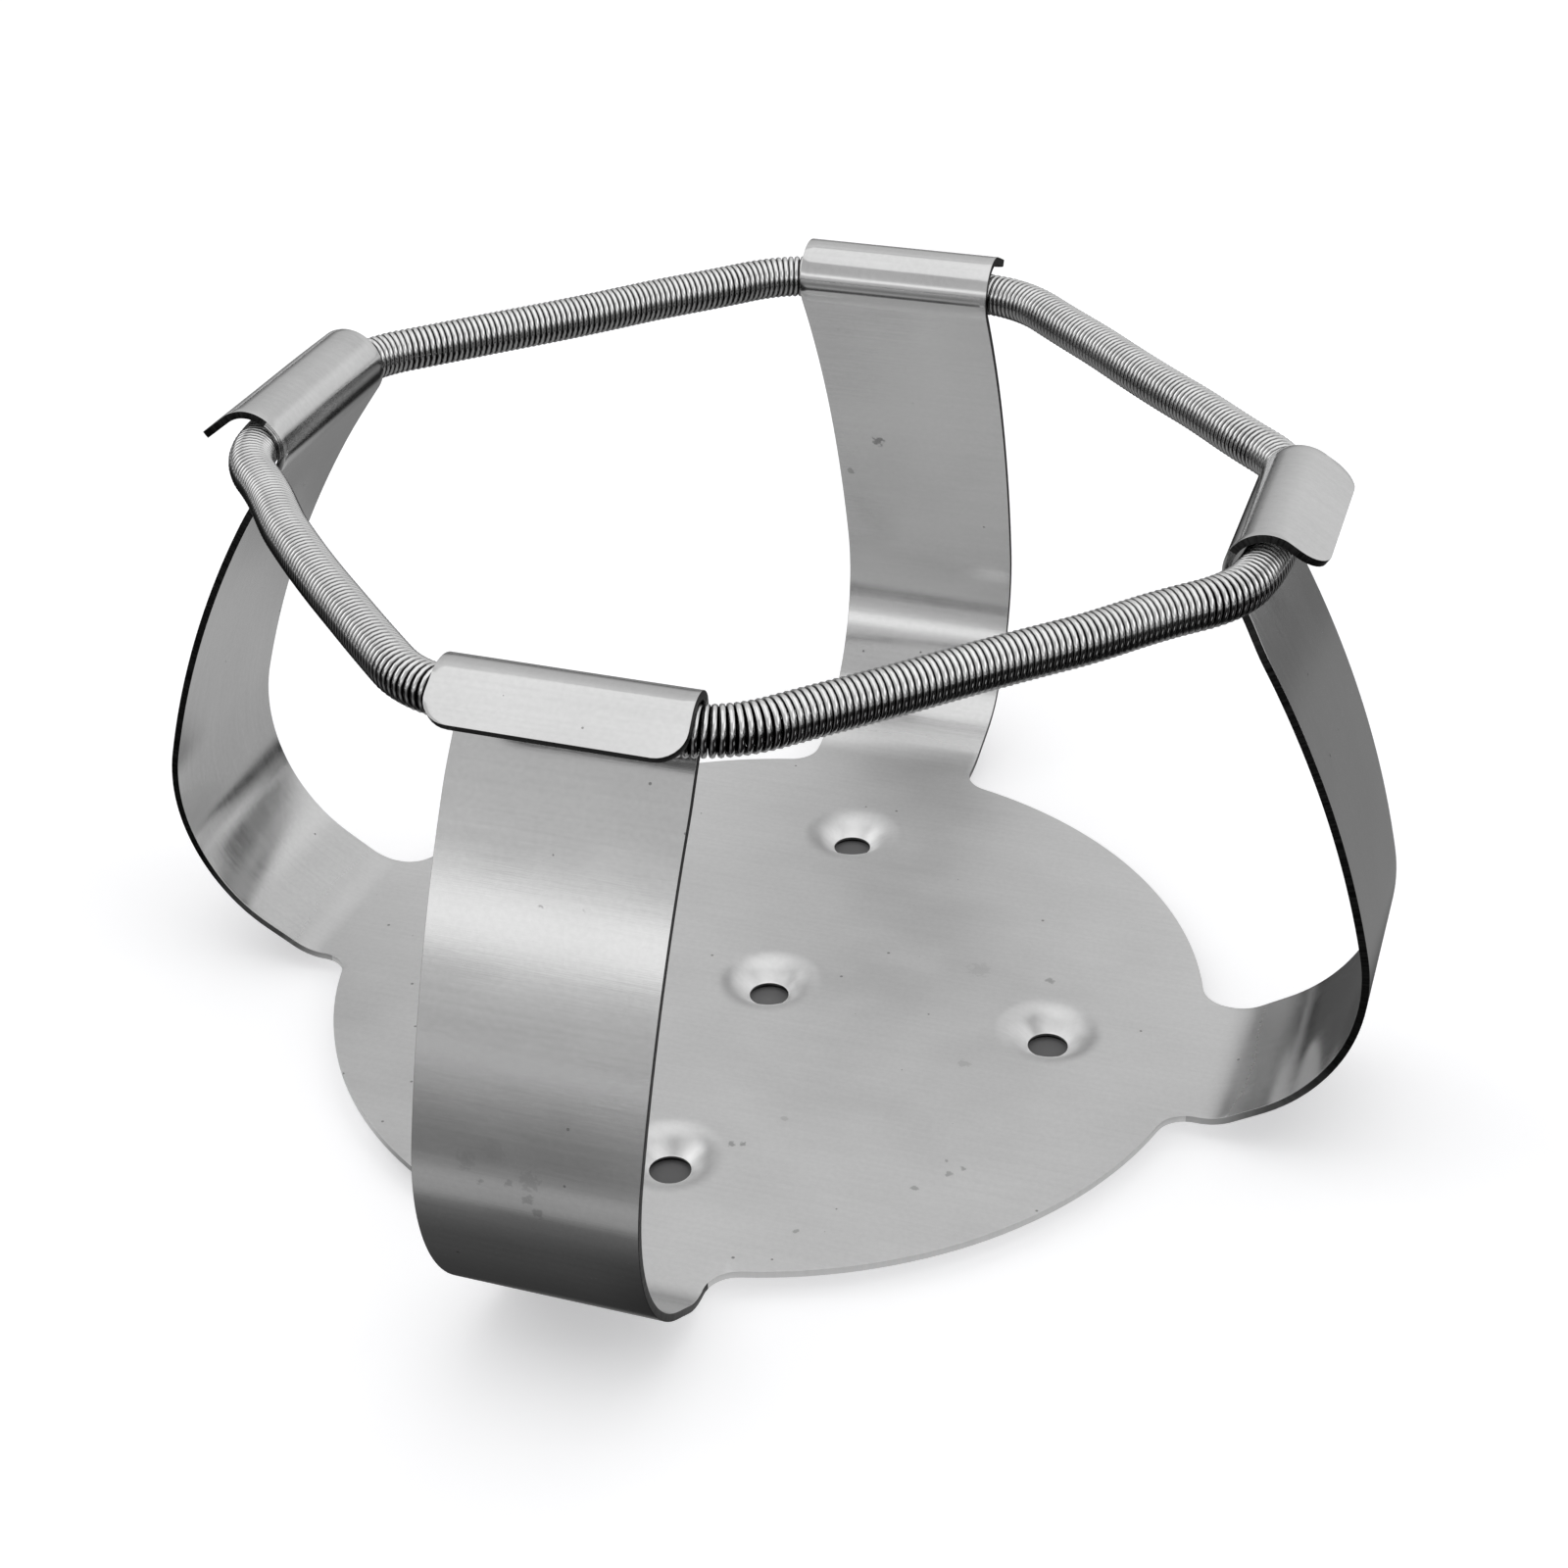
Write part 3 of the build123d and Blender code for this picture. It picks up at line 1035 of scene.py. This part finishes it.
def build_surround():
    """The world: its front, back and side lights, blended by direction; to the camera it is white."""
    world = bpy.data.worlds.new("surround")
    bpy.context.scene.world = world
    world.use_nodes = True
    tree = world.node_tree
    direction = add_node(tree, "ShaderNodeTexCoord").outputs["Generated"]
    parts = split(tree, direction)
    lights = []
    for rows in (FRONT_LIGHT, LEFT_LIGHT, RIGHT_LIGHT, SIDE_LIGHT):
        stops = [(sin(radians(elevation)), level / SURROUND_STRENGTH) for elevation, level in rows]
        lights.append(graded(tree, parts["Z"], stops))
    front, left, right, side = lights
    to_right = remap(tree, parts["X"], RIGHT_BLEND, (0.0, 1.0))
    behind = remap(tree, parts["Y"], BACK_BLEND, (0.0, 1.0))
    around = mixed(tree, behind, front, mixed(tree, to_right, left, right))
    level_part = vector_step(tree, "MULTIPLY", direction, (1.0, 1.0, 0.0))
    bearing = vector_step(tree, "NORMALIZE", level_part)
    sideways = calculate(tree, "ABSOLUTE", split(tree, bearing)["X"])
    beside = remap(tree, sideways, SIDE_BLEND, (0.0, 1.0))
    beside = calculate(tree, "MULTIPLY", beside, remap(tree, parts["Y"], SIDE_END, (1.0, 0.0)))
    around = mixed(tree, beside, around, side)
    path = add_node(tree, "ShaderNodeLightPath").outputs
    white = (1 / SURROUND_STRENGTH, 1 / SURROUND_STRENGTH, 1 / SURROUND_STRENGTH, 1.0)
    shown = mixed(tree, path["Is Camera Ray"], around, white)
    background = tree.nodes["Background"]
    tree.links.new(shown, background.inputs["Color"])
    background.inputs["Strength"].default_value = SURROUND_STRENGTH


def build_studio():
    floor = bpy.data.meshes.new("floor")
    half = FLOOR_SIZE / 2
    corners = [(-half, -half), (half, -half), (half, half), (-half, half)]
    floor.from_pydata([(x, y, -FLOOR_DROP) for x, y in corners], [], [(0, 1, 2, 3)])
    stage_object("floor", floor, floor_material())
    # A painted shadow: a grey pad on the floor under the plate.
    shadow_pad = ring_mesh("shadow_pad", SHADOW_PAD_RADIUS, -FLOOR_DROP / 3)
    stage_object("shadow_pad", shadow_pad, shadow_pad_material())
    card = ring_mesh("card", CARD_OUTER, CARD_HEIGHT)
    only_in_gloss(stage_object("card", card, card_material()))

    lamp = bpy.data.lights.new("overhead", "AREA")
    lamp.shape = "DISK"
    lamp.size = 2 * OVERHEAD_RADIUS
    # A disk lamp's power is its radiance times pi times its area.
    lamp.energy = OVERHEAD_RADIANCE * pi * pi * OVERHEAD_RADIUS**2
    overhead = bpy.data.objects.new("overhead", lamp)
    overhead.location = (0, 0, OVERHEAD_HEIGHT)
    overhead.visible_camera = False
    bpy.context.scene.collection.objects.link(overhead)

    build_surround()
    bpy.context.scene.view_settings.view_transform = "Standard"


build_camera()
build_studio()

clamp = build_clamp()
clamp.data.materials.append(sheet_material())
clamp.data.materials.append(cut_edge_material())
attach(clamp, "root")
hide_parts("clamp_body")

spring = build_spring()
spring.data.materials.append(wire_material())
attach(spring, "root")
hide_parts("garter_spring")
